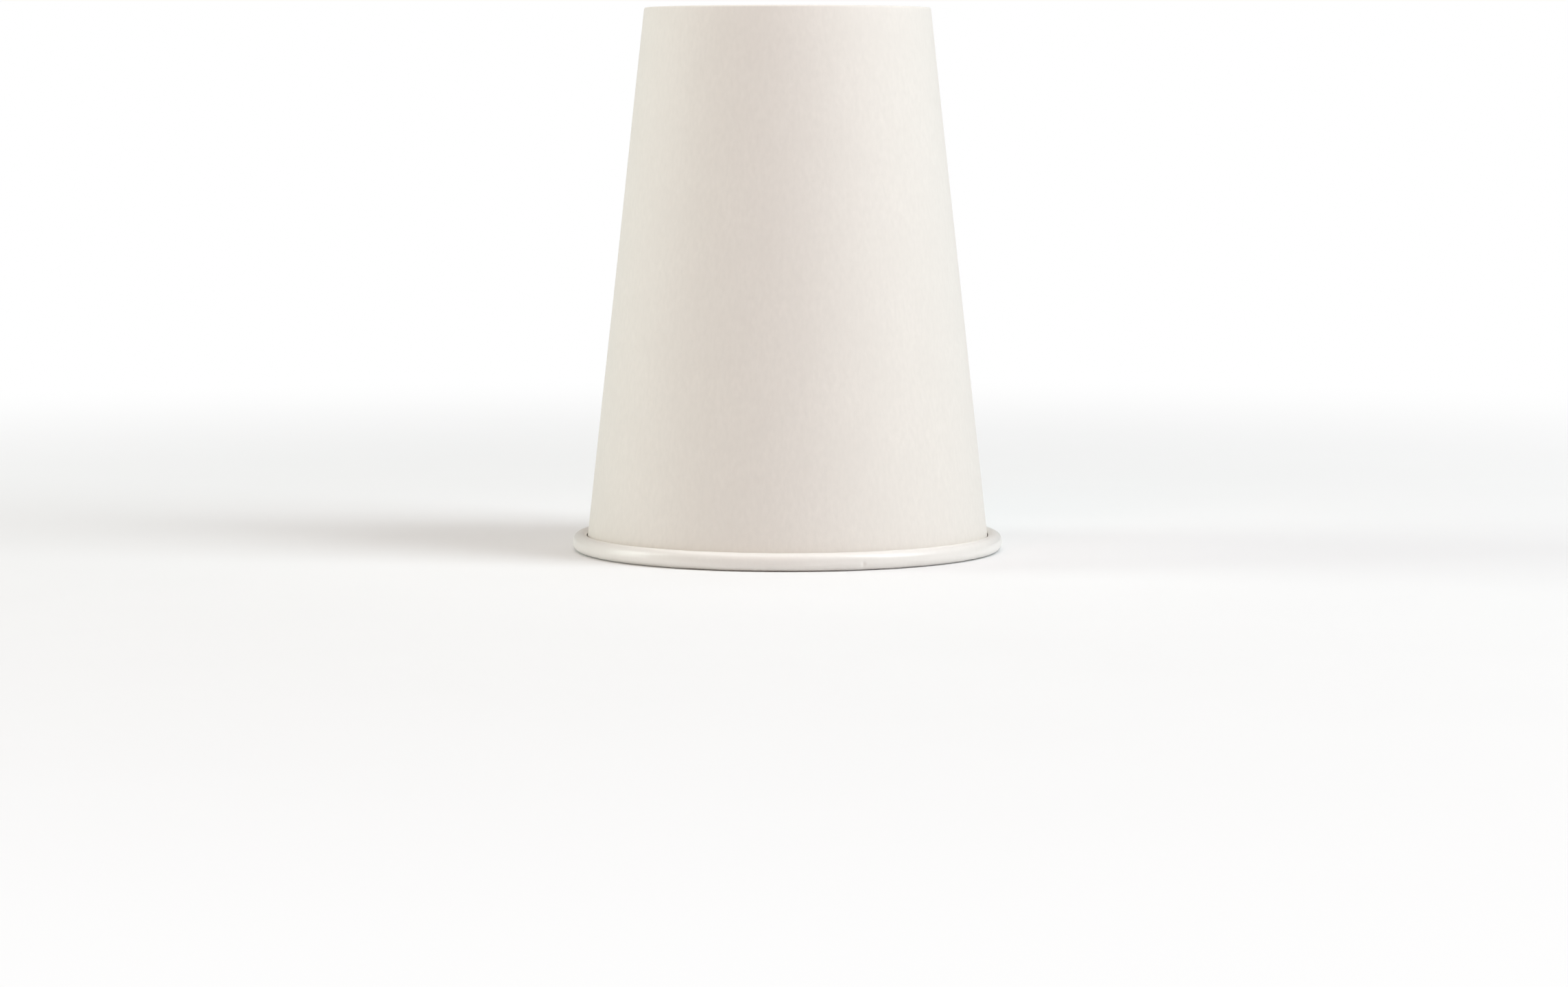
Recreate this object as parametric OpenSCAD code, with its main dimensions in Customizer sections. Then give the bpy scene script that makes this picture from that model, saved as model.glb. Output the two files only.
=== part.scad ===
// Disposable paper cup, standing mouth down. A tapered side wall of coated board has a
// rolled rim, a lapped side seam and a hemmed foot, and a drawn base is sealed in the hem.
// Millimetres. The origin is the centre of the rim's lowest circle, and +Z runs along the
// cup's axis from the mouth to the foot. The side seam is on the +Y side.

/* [Cup] */
// Outside diameter over the rolled rim
rim_od = 90; // [80:0.5:100]
// Outside diameter of the side wall at the foot
foot_od = 59.5; // [50:0.5:68]
// Height from the rim's lowest circle to the crest of the foot
height = 113; // [80:1:150]

/* [Board] */
// Thickness of the side wall's board
wall_t = 0.35; // [0.25:0.05:0.5]
// Thickness of the base's board
base_t = 0.3; // [0.2:0.05:0.5]
// Film left on each face of the base's flange where it is sealed to the side wall
film_t = 0.02; // [0.01:0.01:0.05]

/* [Rolled rim] */
// Width of the roll, from the inside of the cup to the rim's outermost line
roll_w = 3.3; // [2.6:0.1:4.2]
// Straight stretch of the roll's outer side, between its two round turns
roll_flat = 0.4; // [0.2:0.1:1.2]
// Gap between the roll's free edge and the wall that it turns back to
roll_gap = 0.2; // [0.1:0.05:0.6]

/* [Side seam] */
// Width of the overlap, the same from rim to foot
lap_w = 7; // [4:0.5:10]
// Skived stretch between the roll and the start of the overlap
lap_gap = 0.4; // [0.2:0.1:2]

/* [Foot] */
// Depth of the base inside the foot, measured from the foot's crest
recess = 6; // [4.5:0.5:12]
// Inside radius of the base's drawn corner
corner_r = 1.3; // [1:0.1:1.8]
// Gap between the hem's free edge and the start of the base's drawn corner
hem_gap = 0.4; // [0.2:0.1:0.8]
// Gap between the end of the base's flange and the start of the fold
flange_gap = 0.1; // [0.05:0.05:0.4]

/* [Hidden] */
$fn = 180;

rim_r = rim_od / 2;
foot_r = foot_od / 2;

// The roll's two turns share one radius. The wall's outer face passes turn_in inside the
// lower turn's centre, so that the board runs off the wall into the roll without a kink.
turn_r = roll_w / 2;
turn_in = turn_r - wall_t;

// Slope of the wall: the line from the foot that is turn_in inside the lower turn's centre
run_x = rim_r - turn_r - foot_r;
run_z = height - turn_r;
slope = acos(turn_in / norm([run_x, run_z])) - atan2(run_z, run_x);

// The fold of the hem: its crest is the cup's full height, and it starts on the wall's
// outer face at fold_z
slot_w = base_t + 2 * film_t;
fold_r = wall_t + slot_w / 2;
fold_z = height - fold_r * (1 - sin(slope));
wall_l = run_x * sin(slope) + run_z * cos(slope) - (height - fold_z) / cos(slope);

// Angle at which the roll's free edge comes within roll_gap of the wall
free_edge = acos((roll_gap - turn_in) / turn_r);
roll_top = roll_w + roll_flat * cos(slope);
lap_l = (fold_z - roll_top - lap_gap) / cos(slope);

// The base: its flange's outer face is flange_in inside the wall's outer face
flange_in = wall_t + film_t;
flange_top = height - fold_r - flange_gap;
floor_z = height - recess;
corner_z = floor_z + corner_r;
corner_in = flange_in + base_t + corner_r;
hem_l = (fold_z - corner_z - corner_in * sin(slope)) / cos(slope) - hem_gap;

// What a drawn corner's arc runs past its flats, so that the two cross and don't just touch
blend = 0.002;

// Radius, at height z, of the cone that lies inset inside the wall's outer face
function cone_r(inset, z) = foot_r + (height - z) * tan(slope) - inset / cos(slope);

// The wall's own frame: x is square to its outer face, and y runs along it to the fold
module along_wall() {
    translate([cone_r(0, fold_z), fold_z]) rotate(slope) children();
}

// The sector between two angles
module sector(reach, from, to) {
    middle = (from + to) / 2;
    polygon([
        [0, 0],
        reach * [cos(from), sin(from)],
        2 * reach * [cos(middle), sin(middle)],
        reach * [cos(to), sin(to)]
    ]);
}

// A bent strip of the wall's board, r in outside radius, between two angles
module bend(r, from, to) {
    intersection() {
        difference() {
            circle(r);
            circle(r - wall_t);
        }
        sector(3 * r, from, to);
    }
}

// Section of the roll: off the wall, round below, up the outer side and back to the wall
module roll_section() {
    bend(turn_r, 180, 360);
    translate([turn_in, 0]) square([wall_t, roll_flat]);
    translate([0, roll_flat]) bend(turn_r, 0, free_edge);
}

// Section of the wrapped board, from the hem's free edge over the fold to the rolled rim
module side_wall_section() {
    along_wall() {
        translate([-2 * fold_r, -hem_l]) square([wall_t, hem_l]);
        translate([-fold_r, 0]) bend(fold_r, 0, 180);
        translate([-wall_t, -wall_l]) square([wall_t, wall_l]);
        translate([turn_in, -wall_l]) roll_section();
    }
}

// The outer end of the wrapped board, lying over the inner end along the side seam
module seam_overlap() {
    bedded = wall_t / 2;
    intersection() {
        rotate_extrude() along_wall()
            translate([-bedded, -lap_l]) square([bedded + wall_t, lap_l]);
        translate([-lap_w / 2, 0, 0]) cube([lap_w, rim_r, height]);
    }
}

module side_wall() {
    color([0.93, 0.91, 0.87]) union() {
        rotate_extrude() side_wall_section();
        seam_overlap();
    }
}

// Half section of a pan with a flat floor, a sloping side and a drawn corner between them
module pan_section(inset, floor, radius, top) {
    difference() {
        polygon([
            [0, floor],
            [cone_r(inset, floor), floor],
            [cone_r(inset, top), top],
            [0, top]
        ]);
        translate([cone_r(corner_in, corner_z), corner_z]) difference() {
            sector(3 * radius, -90, slope);
            circle(radius + blend);
        }
    }
}

// A disc of board drawn up into a flange that lies between the wall and the hem
module base_disc() {
    color([0.95, 0.93, 0.90]) rotate_extrude() difference() {
        pan_section(flange_in, floor_z - base_t, corner_r + base_t, flange_top);
        pan_section(flange_in + base_t, floor_z, corner_r, height);
    }
}

side_wall();
base_disc();
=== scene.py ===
"""Disposable paper cup, standing mouth down: its wrapped wall, its drawn base and its stage."""

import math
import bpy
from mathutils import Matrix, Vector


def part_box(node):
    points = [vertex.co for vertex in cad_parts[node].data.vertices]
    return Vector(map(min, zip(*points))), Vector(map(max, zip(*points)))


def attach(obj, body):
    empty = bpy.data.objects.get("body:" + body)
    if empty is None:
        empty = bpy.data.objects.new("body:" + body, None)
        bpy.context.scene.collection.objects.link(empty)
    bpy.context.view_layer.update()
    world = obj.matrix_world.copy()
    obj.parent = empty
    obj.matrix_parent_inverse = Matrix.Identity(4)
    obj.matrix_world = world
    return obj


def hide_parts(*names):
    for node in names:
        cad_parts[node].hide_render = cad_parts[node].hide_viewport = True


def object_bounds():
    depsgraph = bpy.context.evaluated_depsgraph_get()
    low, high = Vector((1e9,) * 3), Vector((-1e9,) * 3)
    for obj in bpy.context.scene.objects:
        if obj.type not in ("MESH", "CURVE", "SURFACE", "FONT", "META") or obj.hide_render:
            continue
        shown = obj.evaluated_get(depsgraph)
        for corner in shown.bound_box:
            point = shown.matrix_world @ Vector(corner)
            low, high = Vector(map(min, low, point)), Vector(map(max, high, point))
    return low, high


bl_info = {
    "name": "Paper Cup",
    "version": (1, 0, 0),
    "blender": (4, 5, 0),
    "location": "3D View > Sidebar > Paper Cup",
    "description": "Wraps, rolls and hems a paper cup's side wall, draws its base and lights it",
    "category": "Add Mesh",
}

from typing import NamedTuple

import bpy
import numpy as np
from bpy.props import FloatProperty, FloatVectorProperty, IntProperty, PointerProperty

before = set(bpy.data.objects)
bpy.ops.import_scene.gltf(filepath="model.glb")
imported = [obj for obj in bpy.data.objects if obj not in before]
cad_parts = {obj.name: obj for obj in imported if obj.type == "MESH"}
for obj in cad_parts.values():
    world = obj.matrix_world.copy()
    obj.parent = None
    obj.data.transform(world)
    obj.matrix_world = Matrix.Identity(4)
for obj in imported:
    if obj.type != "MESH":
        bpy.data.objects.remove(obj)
CAD_LOW, CAD_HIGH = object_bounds()
WALL_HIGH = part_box("side_wall")[1]

MM = 0.001

# Material slots of both meshes
OUTER_FACE, COATED_FACE, CUT_EDGE = range(3)

# Angle round the cup of the side seam's middle, which is on the +Y side
SEAM_TURN = math.pi / 2


# Settings that a user would change

class PAPERCUP_PG_wall(bpy.types.PropertyGroup):
    """Sizes of the wrapped side wall"""

    rim_r: FloatProperty(
        name="Rim radius", description="Outside radius over the rolled rim",
        default=WALL_HIGH.x, unit="LENGTH")
    height: FloatProperty(
        name="Height", description="From the rim's lowest circle to the crest of the foot",
        default=WALL_HIGH.z, unit="LENGTH")
    foot_r: FloatProperty(
        name="Foot radius", description="Outside radius of the wall at the foot",
        default=29.75 * MM, unit="LENGTH")
    board: FloatProperty(
        name="Wall board", description="Thickness of the side wall's board",
        default=0.35 * MM, unit="LENGTH")
    roll_w: FloatProperty(
        name="Roll width", description="Width of the rolled rim",
        default=3.3 * MM, unit="LENGTH")
    roll_flat: FloatProperty(
        name="Roll flat", description="Straight stretch of the roll's outer side",
        default=0.4 * MM, unit="LENGTH")
    roll_gap: FloatProperty(
        name="Roll gap", description="Gap between the roll's free edge and the wall",
        default=0.2 * MM, unit="LENGTH")
    lap_w: FloatProperty(
        name="Lap width", description="Width of the side seam's overlap",
        default=7.0 * MM, unit="LENGTH")
    lap_rise: FloatProperty(
        name="Lap rise", description="Stretch over which the board climbs onto its other end",
        default=2.4 * MM, unit="LENGTH")
    cut_lean: FloatProperty(
        name="Cut lean", description="How far a cut edge leans over the board's thickness",
        default=0.06 * MM, unit="LENGTH")
    waver: FloatProperty(
        name="Wall waver", description="How far the wrapped wall strays from a true cone",
        default=0.06 * MM, unit="LENGTH")
    roll_waver: FloatProperty(
        name="Roll waver", description="How far the rolled rim is pressed in unevenly along its length",
        default=0.04 * MM, unit="LENGTH")
    columns: IntProperty(
        name="Columns", description="Mesh columns round the plain part of the wall",
        default=420, min=90)


class PAPERCUP_PG_foot(bpy.types.PropertyGroup):
    """Sizes of the hem and the drawn base"""

    base_t: FloatProperty(
        name="Base board", description="Thickness of the base's board",
        default=0.3 * MM, unit="LENGTH")
    film: FloatProperty(
        name="Sealing film", description="Film on each face of the base's flange",
        default=0.02 * MM, unit="LENGTH")
    recess: FloatProperty(
        name="Recess", description="Depth of the base below the foot's crest",
        default=6.0 * MM, unit="LENGTH")
    corner_r: FloatProperty(
        name="Corner radius", description="Inside radius of the base's drawn corner",
        default=1.3 * MM, unit="LENGTH")
    hem_gap: FloatProperty(
        name="Hem gap", description="Gap between the hem's free edge and the drawn corner",
        default=0.4 * MM, unit="LENGTH")
    flange_gap: FloatProperty(
        name="Flange gap", description="Gap between the flange's end and the fold",
        default=0.1 * MM, unit="LENGTH")
    ribs: IntProperty(
        name="Knurl ribs", description="Ribs that the sealing wheel presses into the hem",
        default=76, min=1)
    rib_h: FloatProperty(
        name="Rib height", description="Height of a knurl rib",
        default=0.1 * MM, unit="LENGTH")
    pleats: IntProperty(
        name="Gathers", description="Gathers of the base's drawn corner", default=64, min=1)
    pleat_h: FloatProperty(
        name="Gather height", description="Height of a gather",
        default=0.04 * MM, unit="LENGTH")
    dish: FloatProperty(
        name="Base dish", description="How far the base's middle sinks into the cup",
        default=0.15 * MM, unit="LENGTH")


class PAPERCUP_PG_crease(bpy.types.PropertyGroup):
    """The small crease in the rolled rim"""

    turn: FloatProperty(
        name="Turn", description="Angle of the crease round the cup, from +X",
        default=math.radians(-70.2), subtype="ANGLE")
    width: FloatProperty(
        name="Width", description="Half width of the crease along the rim",
        default=0.42 * MM, unit="LENGTH")
    middle: FloatProperty(
        name="Middle", description="Height of the crease's middle on the rim",
        default=1.35 * MM, unit="LENGTH")
    reach: FloatProperty(
        name="Reach", description="Half height of the crease",
        default=0.55 * MM, unit="LENGTH")
    depth: FloatProperty(
        name="Depth", description="How deep the crease is pressed in",
        default=0.26 * MM, unit="LENGTH")


class PAPERCUP_PG_finish(bpy.types.PropertyGroup):
    """Colours and grain of the board"""

    outer_colour: FloatVectorProperty(
        name="Outer face", description="Uncoated outer face of the board",
        subtype="COLOR", default=(0.84, 0.80, 0.745))
    coated_colour: FloatVectorProperty(
        name="Coated face", description="Coated face, which is the inside and the rolled rim",
        subtype="COLOR", default=(0.885, 0.855, 0.81))
    # Raw fibre is a little browner than the board; this colour is darkened further as painted shade, so
    # that the cut edges, as at the seam's step, read as thin shadow lines
    edge_fibre_and_shade: FloatVectorProperty(
        name="Cut edge", description="Raw fibre at the board's cut edges",
        subtype="COLOR", default=(0.80, 0.735, 0.64))
    fibre: FloatProperty(
        name="Fibre size", description="Length of the board's fibre clumps",
        default=0.8 * MM, unit="LENGTH")
    cloud: FloatProperty(
        name="Cloud size", description="Size of the clouds in the board's formation",
        default=11.0 * MM, unit="LENGTH")


class PAPERCUP_PG_stage(bpy.types.PropertyGroup):
    """Floor, lights and camera"""

    camera_at: FloatVectorProperty(
        name="Camera", description="Place of the camera",
        subtype="TRANSLATION", default=(-0.73 * MM, -900 * MM, 95.0 * MM))
    camera_pitch: FloatProperty(
        name="Camera pitch", description="How far the camera looks down",
        default=math.radians(5.29), subtype="ANGLE")
    lens: FloatProperty(
        name="Lens", description="Focal length on a 36 mm sensor, in millimetres",
        default=98.9, unit="CAMERA")
    floor_colour: FloatVectorProperty(
        name="Floor", description="Colour of the floor",
        subtype="COLOR", default=(0.84, 0.84, 0.84))
    room_colour: FloatVectorProperty(
        name="Room light", description="Colour and strength of the room's own light",
        subtype="COLOR", default=(0.255, 0.252, 0.249))
    right_light: FloatVectorProperty(
        name="Right light",
        description="Power of the large soft light on the right, in red, green and blue",
        subtype="XYZ", unit="POWER", default=(17.3, 18.7, 19.5))
    left_light: FloatVectorProperty(
        name="Left light",
        description="Power of the soft light on the left, in red, green and blue",
        subtype="XYZ", unit="POWER", default=(9.7, 10.7, 10.0))
    top_light: FloatVectorProperty(
        name="Top light",
        description="Power of the soft light overhead, in red, green and blue",
        subtype="XYZ", unit="POWER", default=(16.3, 16.3, 16.0))
    front_light: FloatVectorProperty(
        name="Front light",
        description="Power of the warm fill on the camera's side, in red, green and blue",
        subtype="XYZ", unit="POWER", default=(3.1, 1.1, 0.6))


SETTINGS = {
    "papercup_wall": PAPERCUP_PG_wall,
    "papercup_foot": PAPERCUP_PG_foot,
    "papercup_crease": PAPERCUP_PG_crease,
    "papercup_finish": PAPERCUP_PG_finish,
    "papercup_stage": PAPERCUP_PG_stage,
}


# Shape of the board's section

class Section:
    """The wall's slope and the lengths of the board's stretches, worked out from the sizes.

    In the wall's own frame x is square to its outer face, and y runs along it to the fold.
    """

    def __init__(self, wall, foot):
        self.board = wall.board
        self.height = wall.height
        self.foot_r = wall.foot_r
        self.roll_flat = wall.roll_flat
        self.turn_r = wall.roll_w / 2
        self.turn_in = self.turn_r - wall.board
        run_x = wall.rim_r - self.turn_r - wall.foot_r
        run_z = wall.height - self.turn_r
        self.slope = math.acos(self.turn_in / math.hypot(run_x, run_z)) - math.atan2(run_z, run_x)
        self.fold_r = wall.board + foot.base_t / 2 + foot.film
        self.fold_z = wall.height - self.fold_r * (1 - math.sin(self.slope))
        self.wall_l = (run_x * math.sin(self.slope) + run_z * math.cos(self.slope)
                       - (wall.height - self.fold_z) / math.cos(self.slope))
        self.free_edge = self.edge_angle(wall.roll_gap)
        self.lap_edge = self.edge_angle(wall.roll_gap + wall.board)
        self.flange_in = wall.board + foot.film
        self.base_t = foot.base_t
        self.corner_r = foot.corner_r
        self.floor_z = wall.height - foot.recess
        self.corner_z = self.floor_z + foot.corner_r
        self.corner_in = self.flange_in + foot.base_t + foot.corner_r
        self.flange_top = wall.height - self.fold_r - foot.flange_gap
        self.hem_l = ((self.fold_z - self.corner_z - self.corner_in * math.sin(self.slope))
                      / math.cos(self.slope) - foot.hem_gap)

    def edge_angle(self, gap):
        """Angle of the roll at which its free edge comes within gap of the wall."""
        return math.acos((gap - self.turn_in) / self.turn_r)

    def cone_r(self, inset, z):
        """Radius, at height z, of the cone that lies inset inside the wall's outer face."""
        return self.foot_r + (self.height - z) * math.tan(self.slope) - inset / math.cos(self.slope)

    def turned(self, x, y):
        """Outward and upward share of a direction given in the wall's own frame."""
        c = math.cos(self.slope)
        s = math.sin(self.slope)
        return x * c - y * s, x * s + y * c

    def placed(self, x, y):
        """Radius and height of a point given in the wall's own frame."""
        r, z = self.turned(x, y)
        return r + self.cone_r(0, self.fold_z), z + self.fold_z


def soft_step(t):
    """Soft step from 0 to 1."""
    t = np.clip(t, 0.0, 1.0)
    return t * t * (3 - 2 * t)


def soft_bump(offset, half_width):
    """Soft bump of height 1 round an offset of 0."""
    return np.exp(-(offset / half_width) ** 2)


def wrapped(angle):
    """The same angle, between minus and plus half a turn."""
    return (angle + math.pi) % math.tau - math.pi


# Rows of the wall's mesh on each stretch of the board, from the hem's free edge to the roll's
STRETCHES = {"hem": 9, "fold": 12, "wall": 20, "lower_turn": 22, "flat": 2, "upper_turn": 16}
FOOT = ("hem", "fold")
ROLL = ("lower_turn", "flat", "upper_turn")

# Which way normals run from the cup's axis, or from the centre of a turn
AWAY, TOWARDS = 1, -1


def board_rows():
    """Stretch of each row, and the row's share of the way along it."""
    names, shares = [], []
    for name, count in STRETCHES.items():
        last = name == ROLL[-1]
        names += [name] * count
        shares += list(np.linspace(0, 1, count, endpoint=last))
    return np.array(names), np.array(shares)


def straight_rows(t, x, start, end, side):
    """Points and normals of rows that run along the wall, at a distance x from its outer face."""
    return np.full_like(t, x), start + (end - start) * t, np.full_like(t, side), np.zeros_like(t)


def round_rows(t, centre, radius, start, end, side):
    """Points and normals of rows that run round a centre, from one angle to another."""
    turn = start + (end - start) * t
    across = np.cos(turn)
    along = np.sin(turn)
    return centre[0] + radius * across, centre[1] + radius * along, side * across, side * along


def coated_line(at, names, shares, edge):
    """Coated-face points and normals, row by column, in the wall's own frame.

    The normals run through the board to its outer face. edge is the roll's last angle in each column.
    """
    def share(name):
        return shares[names == name][:, None]

    lower = (at.turn_in, -at.wall_l)
    upper = (at.turn_in, at.roll_flat - at.wall_l)
    stretches = (
        straight_rows(share("hem"), at.board - 2 * at.fold_r, -at.hem_l, 0.0, TOWARDS),
        round_rows(share("fold"), (-at.fold_r, 0.0), at.fold_r - at.board, math.pi, 0.0, AWAY),
        straight_rows(share("wall"), -at.board, 0.0, -at.wall_l, AWAY),
        round_rows(share("lower_turn"), lower, at.turn_r, math.pi, math.tau, TOWARDS),
        straight_rows(share("flat"), at.turn_in + at.turn_r, lower[1], upper[1], TOWARDS),
        round_rows(share("upper_turn"), upper, at.turn_r, 0.0, edge, TOWARDS),
    )

    def joined(values):
        return np.concatenate([np.broadcast_to(rows, (len(rows), len(edge))) for rows in values])

    return [joined(values) for values in zip(*stretches)]


# Columns round the cup: how far the close ones reach to each side of the seam and of the crease, and
# their steps. CUT_CLEAR is the least distance between an even column and a cut edge.
SEAM_HALF = 12 * MM
SEAM_STEP = 0.55 * MM
CUT_CLEAR = SEAM_STEP / 3
CREASE_HALF = 1.2 * MM
CREASE_STEP = 0.08 * MM


def seam_offsets(wall):
    """Distances of the seam's columns from its middle, with a close pair at each cut edge."""
    even = np.arange(-SEAM_HALF, SEAM_HALF + SEAM_STEP / 2, SEAM_STEP)
    cuts = np.array([-wall.lap_w / 2, wall.lap_w / 2])
    clear = np.all(np.abs(even[:, None] - cuts) > CUT_CLEAR, axis=1)
    pairs = np.concatenate([cuts - wall.cut_lean / 2, cuts + wall.cut_lean / 2])
    return np.sort(np.concatenate([even[clear], pairs]))


def plain_shares(wall, crease, rim):
    """Shares of the way round from one side of the seam to the other, closer at the crease."""
    even = np.linspace(0, 1, wall.columns + 1)[1:-1]
    seam_turn = SEAM_HALF / rim
    way = math.tau - 2 * seam_turn
    middle = ((crease.turn - SEAM_TURN - seam_turn) % math.tau) / way
    half = CREASE_HALF / rim / way
    step = CREASE_STEP / rim / way
    clear = even[np.abs(even - middle) > half]
    close = np.arange(middle - half, middle + half + step / 2, step)
    return np.sort(np.concatenate([clear, close]))


def column_angles(offsets, shares, radius):
    """Angles of all columns in rows of the given radius, starting at one side of the seam."""
    r = radius[:, None]
    seam = SEAM_TURN + offsets / r
    seam_turn = SEAM_HALF / r
    plain = SEAM_TURN + seam_turn + shares * (math.tau - 2 * seam_turn)
    return np.concatenate([seam, plain], axis=1)


def wall_columns(at, names, shares, offsets, plain):
    """Angle of each column in each row, and its distance from the seam's middle."""
    wall_z = at.fold_z - shares * at.wall_l * math.cos(at.slope)
    row_z = np.select([names == "wall", np.isin(names, FOOT)], [wall_z, at.fold_z], 0.0)
    row_r = at.cone_r(0, row_z)
    angle = column_angles(offsets, plain, row_r)
    distance = wrapped(angle - SEAM_TURN) * row_r[:, None]

    # Exact at the seam's own columns, so that each cut edge lies between the two of its pair
    distance[:, :len(offsets)] = offsets
    return angle, distance


# Side seam

# Share of the lap's height that the fold leaves, and share of the wall over which the rest returns
FOLD_PRESS = 0.3
PRESS_REACH = 1 / 12


def lap_lift(wall, distance):
    """How far the outer and the coated face stand off the plain board at a distance from the seam."""
    half = wall.lap_w / 2
    lean = wall.cut_lean / 2
    climb = wall.board * soft_step((half + wall.lap_rise - distance) / wall.lap_rise)
    outer = np.where(distance >= lean - half, climb, 0.0)
    coated = np.where(distance >= half + lean, climb, 0.0)
    return outer, coated


def pressed_lap(wall, names, shares, distance):
    """Lift of the outer and the coated face in each row, which the fold at the foot presses flatter."""
    outer, coated = lap_lift(wall, distance)
    returning = FOLD_PRESS + (1 - FOLD_PRESS) * soft_step(shares / PRESS_REACH)
    press = np.select([np.isin(names, FOOT), names == "wall"], [FOLD_PRESS, returning], 1.0)[:, None]
    return outer * press, coated * press


def roll_edge(wall, at, distance):
    """Last angle of the roll in each column, which stands more open where the lap lies inside it."""
    opened = soft_step((wall.lap_w + wall.lap_rise - np.abs(distance[-1])) / (wall.lap_w / 2))
    return at.free_edge + (at.lap_edge - at.free_edge) * opened


# Small unevenness of the board

# Waves of the wall's slow swell round the cup and along the wall, and share of the wall at each end
# over which they fade
WAVER_TURNS = (2, 3, 5)
WAVER_RISES = (1.0, 1.7, 0.6)
WAVER_FADE = 0.25

# Waves of the roll's pressing round the cup, and share of the lower turn over which it sets in
ROLL_WAVES = (17, 29, 47)
ROLL_GRIP = 0.5

# Share of the hem, from its free edge, at which the knurl has faded out
KNURL_END = 0.85


def wall_waver(wall, angle, stretch, share):
    """Slow uneven swell of the wall between the roll and the foot, in waves that start apart."""
    total = sum(
        np.sin(turns * angle + math.tau * rises * share + turns)
        for turns, rises in zip(WAVER_TURNS, WAVER_RISES))
    fade = soft_step(share / WAVER_FADE) * soft_step((1 - share) / WAVER_FADE)
    return np.where(stretch == "wall", wall.waver * fade * total / len(WAVER_TURNS), 0.0)


def roll_waver(wall, angle, stretch, share):
    """Slight uneven pressing of the roll, which only ever goes inwards."""
    total = sum(np.sin(waves * angle + waves) for waves in ROLL_WAVES) / len(ROLL_WAVES)
    grip = np.where(stretch == "lower_turn", soft_step(share / ROLL_GRIP), np.isin(stretch, ROLL))
    return wall.roll_waver * grip * (1 + total) / 2


def knurl(foot, angle, stretch, share):
    """Depth of the ribs that the sealing wheel leaves in the hem."""
    wave = (1 + np.cos(foot.ribs * angle)) / 2
    fade = soft_step((KNURL_END - share) / (1 - KNURL_END))
    return np.where(stretch == "hem", foot.rib_h * fade * wave, 0.0)


def crease_depth(crease, angle, radius, height):
    """Depth of the crease pressed into the roll."""
    along = wrapped(angle - crease.turn) * radius
    return crease.depth * soft_bump(along, crease.width) * soft_bump(height - crease.middle, crease.reach)


# Meshes

# Edges that turn more than this are sharp
SHARP_TURN = math.radians(50)


def ring_faces(rows, columns, start, flip):
    """Quads of a grid that closes on itself round the cup."""
    i = np.arange(rows - 1)[:, None] * columns
    j = np.arange(columns)[None, :]
    k = (j + 1) % columns
    quads = np.stack([i + j, i + k, i + columns + k, i + columns + j], axis=-1).reshape(-1, 4) + start
    return quads[:, ::-1] if flip else quads


def edge_strip(first, second):
    """Quads between two closed rows of vertices."""
    return np.stack([first, np.roll(first, -1), np.roll(second, -1), second], axis=-1)


def revolved(radius, height, angle):
    """Points at the given radius, height and angle."""
    return np.stack([radius * np.cos(angle), radius * np.sin(angle), height], axis=-1).reshape(-1, 3)


def mesh_object(name, points, faces, slots, materials):
    """A smooth-shaded object from points, faces and a material slot for each face."""
    mesh = bpy.data.meshes.new(name)
    mesh.from_pydata(points.tolist(), [], [[int(v) for v in face] for face in faces])
    for material in materials:
        mesh.materials.append(material)
    mesh.polygons.foreach_set("material_index", np.array(slots, np.int32))
    mesh.polygons.foreach_set("use_smooth", np.ones(len(faces), bool))
    mesh.set_sharp_from_angle(angle=SHARP_TURN)
    mesh.update()
    if mesh.validate():
        raise RuntimeError(f"{name}: the mesh had faces that are not valid")
    made = bpy.data.objects.new(name, mesh)
    bpy.context.scene.collection.objects.link(made)
    return made


# Side wall

def shell_faces(rows, columns):
    """Quads of the outer face, the coated face, the hem's free edge and the roll's free edge."""
    count = rows * columns
    hem = np.arange(columns)
    roll = hem + count - columns
    return np.concatenate([
        ring_faces(rows, columns, 0, True),
        ring_faces(rows, columns, count, False),
        edge_strip(hem, count + hem),
        edge_strip(count + roll, roll),
    ])


def shell_slots(wall, offsets, rows, columns):
    """Material slot of each of the shell's quads: those that climb a cut edge get the cut edges' finish,
    raw fibre darkened further as painted shade.
    """
    outer = np.full((rows - 1, columns), OUTER_FACE)
    coated = np.full((rows - 1, columns), COATED_FACE)
    for face, cut in ((outer, -wall.lap_w / 2), (coated, wall.lap_w / 2)):
        face[:, np.searchsorted(offsets, cut) - 1] = CUT_EDGE
    free_edges = np.full(2 * columns, CUT_EDGE)
    return np.concatenate([outer.ravel(), coated.ravel(), free_edges])


def build_wall(wall, foot, crease, materials):
    """The wrapped board: both faces, its two free edges and the seam's cut edges."""
    at = Section(wall, foot)
    names, shares = board_rows()
    offsets = seam_offsets(wall)
    plain = plain_shares(wall, crease, at.cone_r(0, 0))
    angle, distance = wall_columns(at, names, shares, offsets, plain)
    outer_lift, coated_lift = pressed_lap(wall, names, shares, distance)
    x, y, nx, ny = coated_line(at, names, shares, roll_edge(wall, at, distance))

    stretch = names[:, None]
    share = shares[:, None]
    swell = wall_waver(wall, angle, stretch, share) + roll_waver(wall, angle, stretch, share)
    ribs = knurl(foot, angle, stretch, share)
    creased = np.isin(stretch, ROLL) & (nx < 0)

    def face_points(through):
        radius, height = at.placed(x + nx * through, y + ny * through)
        dent = np.where(creased, crease_depth(crease, angle, radius, height), 0.0)
        dent_r, dent_z = at.turned(nx * dent, ny * dent)
        return revolved(radius + dent_r, height + dent_z, angle)

    outer = face_points(at.board + outer_lift + swell - ribs)
    coated = face_points(coated_lift + swell)
    faces = shell_faces(*angle.shape)
    slots = shell_slots(wall, offsets, *angle.shape)
    return mesh_object("cup_side_wall", np.concatenate([outer, coated]), faces, slots, materials)


# Base

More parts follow.
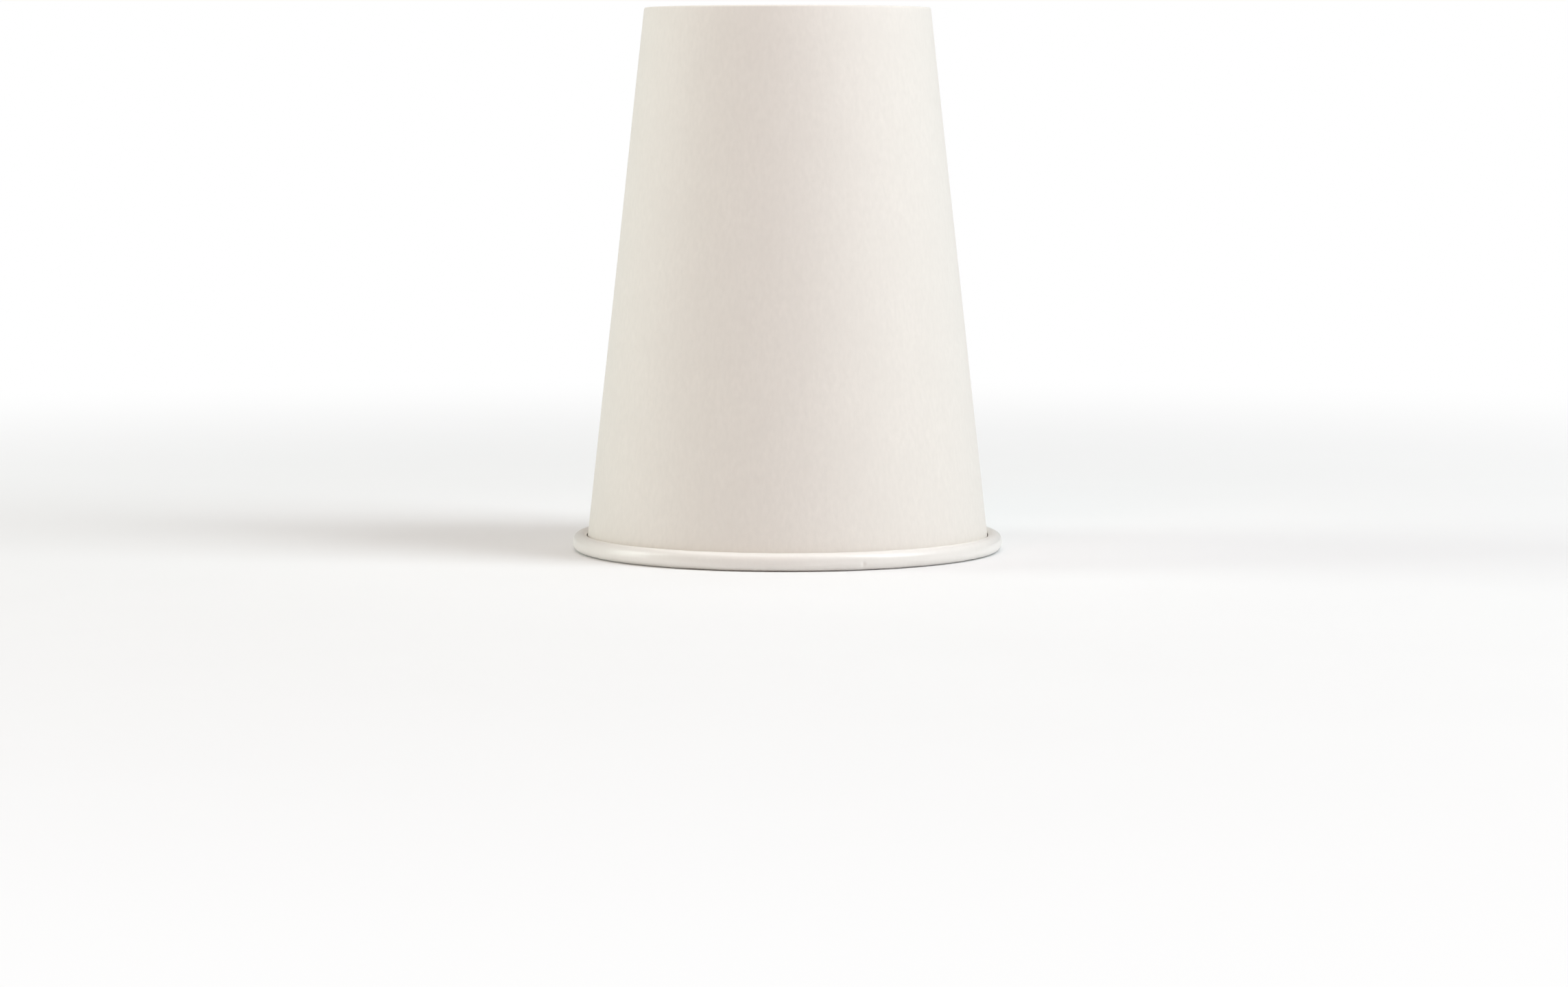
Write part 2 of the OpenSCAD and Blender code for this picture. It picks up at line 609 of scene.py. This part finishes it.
# Rows of each face: rings of the floor, the drawn corner and the flange
FLOOR_ROWS, CORNER_ROWS, FLANGE_ROWS = 14, 10, 5
BASE_ROWS = FLOOR_ROWS + CORNER_ROWS + FLANGE_ROWS
BASE_COLUMNS = 384

# Rows over which the gathers fade at each end of the drawn corner
GATHER_FADE = 4


def pan_line(at, inset, floor, radius):
    """Radius and height along one face of the base, from near the middle to the flange's end."""
    corner_x = at.cone_r(at.corner_in, at.corner_z)
    floor_r = np.linspace(0, 1, FLOOR_ROWS + 1)[1:] * corner_x
    arc = np.linspace(-math.pi / 2, at.slope, CORNER_ROWS + 1)[1:]
    arc_r = corner_x + radius * np.cos(arc)
    arc_z = at.corner_z + radius * np.sin(arc)
    flange_z = np.linspace(arc_z[-1], at.flange_top, FLANGE_ROWS + 1)[1:]
    flange_r = at.cone_r(inset, flange_z)
    line_r = np.concatenate([floor_r, arc_r, flange_r])
    line_z = np.concatenate([np.full(FLOOR_ROWS, floor), arc_z, flange_z])
    return line_r, line_z


def pan_points(at, foot, inset, floor, radius):
    """Points of one face of the base: its middle, and then ring by ring to the flange's end."""
    line_r, line_z = pan_line(at, inset, floor, radius)
    angle = np.linspace(0, math.tau, BASE_COLUMNS, endpoint=False)[None, :]
    bowl = foot.dish * (1 - np.clip(line_r / line_r[FLOOR_ROWS - 1], 0, 1) ** 2) ** 2
    row = np.arange(BASE_ROWS) - FLOOR_ROWS + 1
    gather = soft_step(row / GATHER_FADE + 1) * soft_step((CORNER_ROWS - row) / GATHER_FADE)
    wave = foot.pleat_h * gather[:, None] * np.cos(foot.pleats * angle)
    rings = revolved(line_r[:, None], (line_z - bowl)[:, None] + wave, angle)
    middle = [[0.0, 0.0, floor - foot.dish]]
    return np.concatenate([middle, rings])


def pan_faces(start, facing_down):
    """Triangles round the middle and quads between the rings of one face of the base."""
    ring = start + 1 + np.arange(BASE_COLUMNS)
    fan = np.stack([np.full(BASE_COLUMNS, start), ring, np.roll(ring, -1)], axis=-1)
    rings = ring_faces(BASE_ROWS, BASE_COLUMNS, start + 1, not facing_down)
    return [*(fan[:, ::-1] if facing_down else fan), *rings]


def build_base(wall, foot, materials):
    """The drawn base: its inside face, its recessed face and the flange's cut edge."""
    at = Section(wall, foot)
    inside = pan_points(at, foot, at.flange_in, at.floor_z - at.base_t, at.corner_r + at.base_t)
    recessed = pan_points(at, foot, at.flange_in + at.base_t, at.floor_z, at.corner_r)
    count = len(inside)
    flange_end = np.arange(count - BASE_COLUMNS, count)
    parts = (
        (COATED_FACE, pan_faces(0, True)),
        (OUTER_FACE, pan_faces(count, False)),
        (CUT_EDGE, edge_strip(flange_end, count + flange_end)),
    )
    faces = [face for _, part in parts for face in part]
    slots = [slot for slot, part in parts for _ in part]
    return mesh_object("cup_base", np.concatenate([inside, recessed]), faces, slots, materials)


# Materials

# Most of a noise's values lie in this range
NOISE_LOW, NOISE_HIGH = 0.25, 0.75


class Nodes:
    """Adds and links the nodes of one material."""

    def __init__(self, name):
        self.material = bpy.data.materials.new(name)
        self.material.use_nodes = True
        self.tree = self.material.node_tree
        self.shader = self.tree.nodes["Principled BSDF"]
        self.place = self.tree.nodes.new("ShaderNodeTexCoord").outputs["Object"]

    def link(self, source, target):
        self.tree.links.new(source, target)

    def noise(self, size, detail, stretch=(1.0, 1.0, 1.0)):
        """Noise whose lumps have a size in metres, from 0 to 1."""
        mapping = self.tree.nodes.new("ShaderNodeMapping")
        mapping.inputs["Scale"].default_value = stretch
        self.link(self.place, mapping.inputs["Vector"])
        node = self.tree.nodes.new("ShaderNodeTexNoise")
        node.inputs["Scale"].default_value = 1 / size
        node.inputs["Detail"].default_value = detail
        self.link(mapping.outputs["Vector"], node.inputs["Vector"])
        return node.outputs["Fac"]

    def spread(self, fac, low=0.0, high=1.0):
        """The middle of a noise's range, stretched from low to high."""
        node = self.tree.nodes.new("ShaderNodeMapRange")
        node.inputs["From Min"].default_value = NOISE_LOW
        node.inputs["From Max"].default_value = NOISE_HIGH
        node.inputs["To Min"].default_value = low
        node.inputs["To Max"].default_value = high
        self.link(fac, node.inputs["Value"])
        return node.outputs["Result"]

    def mixed(self, fac, first, second):
        """A colour that runs from first to second."""
        node = self.tree.nodes.new("ShaderNodeMix")
        node.data_type = "RGBA"
        self.link(fac, node.inputs["Factor"])
        for socket, value in (("A", first), ("B", second)):
            target = next(s for s in node.inputs if s.name == socket and s.type == "RGBA")
            if isinstance(value, bpy.types.NodeSocket):
                self.link(value, target)
            else:
                target.default_value = (*value, 1.0)
        return next(s for s in node.outputs if s.type == "RGBA")

    def bumped(self, fac, depth, strength, under=None):
        """A bump of the given depth in metres, over another one."""
        node = self.tree.nodes.new("ShaderNodeBump")
        node.inputs["Strength"].default_value = strength
        node.inputs["Distance"].default_value = depth
        self.link(fac, node.inputs["Height"])
        if under is not None:
            self.link(under, node.inputs["Normal"])
        return node.outputs["Normal"]


def tint(colour, factor):
    """A colour made lighter or darker."""
    return tuple(min(1.0, c * factor) for c in colour)


# What the board's finishes share: the detail of their noises, fibre clumps that are longer along the
# cup's axis, flecks that are darker than the clouds, and how far the roughness strays
CLOUD_DETAIL, FIBRE_DETAIL, GRAIN_DETAIL = 3.0, 4.0, 2.0
FIBRE_STRETCH = (1.0, 1.0, 0.45)
FIBRE_BUMP, GRAIN_BUMP = 0.6, 0.5
FLECKS_TO_CLOUDS = 2.5
ROUGH_SPREAD = 0.05

# Gloss patches across a cloud, grains across a fibre clump, and how much shallower a grain is
PATCHES_PER_CLOUD = 3
GRAINS_PER_FIBRE = 4
GRAIN_SHALLOWER = 3


def board_material(name, colour, finish, rough, cloudiness, grain_depth, specular):
    """Paperboard: formation clouds, fibre clumps, a grain that can be felt and uneven gloss."""
    made = Nodes(name)
    clouds = made.spread(made.noise(finish.cloud, CLOUD_DETAIL))
    fibres = made.noise(finish.fibre, FIBRE_DETAIL, FIBRE_STRETCH)
    body = made.mixed(clouds, tint(colour, 1 - cloudiness), tint(colour, 1 + cloudiness))
    flecked = made.mixed(made.spread(fibres), body, tint(colour, 1 - FLECKS_TO_CLOUDS * cloudiness))
    made.link(flecked, made.shader.inputs["Base Color"])
    patches = made.noise(finish.cloud / PATCHES_PER_CLOUD, CLOUD_DETAIL)
    gloss = made.spread(patches, rough - ROUGH_SPREAD, rough + ROUGH_SPREAD)
    made.link(gloss, made.shader.inputs["Roughness"])
    felt = made.bumped(fibres, grain_depth, FIBRE_BUMP)
    grain = made.noise(finish.fibre / GRAINS_PER_FIBRE, GRAIN_DETAIL)
    grained = made.bumped(grain, grain_depth / GRAIN_SHALLOWER, GRAIN_BUMP, felt)
    made.link(grained, made.shader.inputs["Normal"])
    made.shader.inputs["Specular IOR Level"].default_value = specular
    return made


def outer_board(finish):
    """Matte uncoated face, on the outside of the wall and in the recess."""
    made = board_material(
        "outer_board", finish.outer_colour, finish,
        rough=0.62, cloudiness=0.018, grain_depth=0.04 * MM, specular=0.35)
    return made.material


def coated_board(finish):
    """Satin coated face, inside the cup and round the rolled rim."""
    made = board_material(
        "coated_board", finish.coated_colour, finish,
        rough=0.34, cloudiness=0.01, grain_depth=0.012 * MM, specular=0.5)
    made.shader.inputs["Coat Weight"].default_value = 0.4
    made.shader.inputs["Coat Roughness"].default_value = 0.25
    return made.material


def cut_board(finish):
    """Raw fibre of the cut edges, a little browner than the board and darkened further as painted shade,
    so that each cut edge reads as a thin shadow line.
    """
    made = board_material(
        "cut_board", finish.edge_fibre_and_shade, finish,
        rough=0.85, cloudiness=0.04, grain_depth=0.04 * MM, specular=0.2)
    return made.material


def board_materials(finish):
    """The board's three finishes, in the order of the meshes' slots, made once."""
    makers = {"outer_board": outer_board, "coated_board": coated_board, "cut_board": cut_board}
    return [bpy.data.materials.get(name) or make(finish) for name, make in makers.items()]


# Stage

# Radius of the floor and the number of its sides
FLOOR_REACH = 12.0
FLOOR_SIDES = 48

# Radius at which the floor's own glow sets in, and from which it is full
FLOOR_MATTE_R = 0.14
FLOOR_LIT_R = 0.55

# Faint dust on the floor
DUST_SIZE = 50 * MM
DUST_DETAIL = 3.0
DUST_TINT = 0.005


def floor_material(stage):
    """A matte pale floor that is lit from below further out."""
    made = Nodes("studio_floor")
    dust = made.spread(made.noise(DUST_SIZE, DUST_DETAIL))
    colour = stage.floor_colour
    dusty = made.mixed(dust, tint(colour, 1 - DUST_TINT), tint(colour, 1 + DUST_TINT))
    made.link(dusty, made.shader.inputs["Base Color"])
    made.shader.inputs["Roughness"].default_value = 0.9
    made.shader.inputs["Specular IOR Level"].default_value = 0.1
    out = made.tree.nodes.new("ShaderNodeVectorMath")
    out.operation = "LENGTH"
    made.link(made.place, out.inputs[0])
    fade = made.tree.nodes.new("ShaderNodeMapRange")
    fade.interpolation_type = "SMOOTHSTEP"
    fade.inputs["From Min"].default_value = FLOOR_MATTE_R
    fade.inputs["From Max"].default_value = FLOOR_LIT_R
    made.link(out.outputs["Value"], fade.inputs["Value"])
    glow = made.tree.nodes.new("ShaderNodeEmission")
    mix = made.tree.nodes.new("ShaderNodeMixShader")
    made.link(fade.outputs["Result"], mix.inputs[0])
    made.link(made.shader.outputs["BSDF"], mix.inputs[1])
    made.link(glow.outputs["Emission"], mix.inputs[2])
    made.link(mix.outputs["Shader"], made.tree.nodes["Material Output"].inputs["Surface"])
    return made.material


def build_floor(stage):
    """A wide round floor under the rim's lowest circle."""
    turn = np.linspace(0, math.tau, FLOOR_SIDES, endpoint=False)
    points = revolved(FLOOR_REACH, np.full(FLOOR_SIDES, CAD_LOW.z), turn)
    floor = mesh_object("studio_floor", points, [range(FLOOR_SIDES)], [0], [floor_material(stage)])


class Softbox(NamedTuple):
    """Place of a soft light: its turn from the camera's side, and its reach, height and size in metres."""

    light: str
    turn: float
    out: float
    up: float
    width: float
    height: float


SOFTBOXES = (
    Softbox("right_light", turn=math.radians(68), out=1.25, up=1.15, width=0.8, height=1.4),
    Softbox("left_light", turn=math.radians(-92), out=1.4, up=0.35, width=0.6, height=1.3),
    Softbox("top_light", turn=math.radians(180), out=0.1, up=2.0, width=1.7, height=1.7),
    Softbox("front_light", turn=math.radians(-14), out=1.3, up=1.3, width=1.2, height=0.9),
)


def add_softbox(box, powers, aim):
    """A soft light of the given powers in red, green and blue, which the camera doesn't see."""
    data = bpy.data.lights.new(box.light, "AREA")
    data.shape = "RECTANGLE"
    data.size = box.width
    data.size_y = box.height
    data.energy = max(powers)
    data.color = [power / max(powers) for power in powers]
    lamp = bpy.data.objects.new(box.light, data)
    lamp.location = (box.out * math.sin(box.turn), -box.out * math.cos(box.turn), box.up)
    lamp.rotation_mode = "QUATERNION"
    lamp.rotation_quaternion = (aim - lamp.location).to_track_quat("-Z", "Y")
    lamp.visible_camera = False
    bpy.context.scene.collection.objects.link(lamp)


def build_room(stage):
    """Dim light from all round, behind a backdrop that is plain white to the camera."""
    world = bpy.data.worlds.new("studio_room")
    world.use_nodes = True
    tree = world.node_tree
    background = tree.nodes["Background"]
    background.inputs["Color"].default_value = (*stage.room_colour, 1.0)
    white = tree.nodes.new("ShaderNodeBackground")
    white.inputs["Color"].default_value = (1.0, 1.0, 1.0, 1.0)
    path = tree.nodes.new("ShaderNodeLightPath")
    mix = tree.nodes.new("ShaderNodeMixShader")
    tree.links.new(path.outputs["Is Camera Ray"], mix.inputs[0])
    tree.links.new(background.outputs[0], mix.inputs[1])
    tree.links.new(white.outputs[0], mix.inputs[2])
    tree.links.new(mix.outputs[0], tree.nodes["World Output"].inputs["Surface"])
    bpy.context.scene.world = world


# Width of the camera's sensor, in millimetres
SENSOR_W = 36.0


def build_camera(stage):
    """The camera at the photograph's viewing angle."""
    data = bpy.data.cameras.new("photo_camera")
    data.sensor_width = SENSOR_W
    data.lens = stage.lens
    camera = bpy.data.objects.new("photo_camera", data)
    camera.location = stage.camera_at
    camera.rotation_euler = (math.pi / 2 - stage.camera_pitch, 0.0, 0.0)
    bpy.context.scene.collection.objects.link(camera)
    bpy.context.scene.camera = camera


# Operators and panel

class PAPERCUP_OT_side_wall(bpy.types.Operator):
    """Wrap the side wall, with its lapped seam, rolled rim and hem"""

    bl_idname = "papercup.side_wall"
    bl_label = "Side Wall"

    def execute(self, context):
        scene = context.scene
        materials = board_materials(scene.papercup_finish)
        made = build_wall(scene.papercup_wall, scene.papercup_foot, scene.papercup_crease, materials)
        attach(made, "root")
        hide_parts("side_wall")
        return {"FINISHED"}


class PAPERCUP_OT_base(bpy.types.Operator):
    """Draw the base, with its corner and the flange inside the hem"""

    bl_idname = "papercup.base"
    bl_label = "Base"

    def execute(self, context):
        scene = context.scene
        materials = board_materials(scene.papercup_finish)
        made = build_base(scene.papercup_wall, scene.papercup_foot, materials)
        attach(made, "root")
        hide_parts("base_disc")
        return {"FINISHED"}


class PAPERCUP_OT_stage(bpy.types.Operator):
    """Set up the floor, the soft lights and the camera"""

    bl_idname = "papercup.stage"
    bl_label = "Stage"

    def execute(self, context):
        scene = context.scene
        stage = scene.papercup_stage
        scene.view_settings.view_transform = "Standard"
        build_floor(stage)
        build_room(stage)
        middle = (CAD_LOW + CAD_HIGH) / 2
        for box in SOFTBOXES:
            add_softbox(box, getattr(stage, box.light), middle)
        build_camera(stage)
        return {"FINISHED"}


class PAPERCUP_PT_panel(bpy.types.Panel):
    """Makes the cup's pieces and lists their settings"""

    bl_idname = "PAPERCUP_PT_panel"
    bl_label = "Paper Cup"
    bl_space_type = "VIEW_3D"
    bl_region_type = "UI"
    bl_category = "Paper Cup"

    def draw(self, context):
        for operator in OPERATORS:
            self.layout.operator(operator.bl_idname)
        for name, group in SETTINGS.items():
            box = self.layout.box()
            box.label(text=group.__doc__)
            for setting in group.__annotations__:
                box.prop(getattr(context.scene, name), setting)


OPERATORS = (PAPERCUP_OT_side_wall, PAPERCUP_OT_base, PAPERCUP_OT_stage)
CLASSES = (*SETTINGS.values(), *OPERATORS, PAPERCUP_PT_panel)


def register():
    for cls in CLASSES:
        bpy.utils.register_class(cls)
    for name, group in SETTINGS.items():
        setattr(bpy.types.Scene, name, PointerProperty(type=group))


def unregister():
    for name in SETTINGS:
        delattr(bpy.types.Scene, name)
    for cls in reversed(CLASSES):
        bpy.utils.unregister_class(cls)


def main():
    register()
    bpy.ops.papercup.side_wall()
    bpy.ops.papercup.base()
    bpy.ops.papercup.stage()


if __name__ == "__main__":
    main()
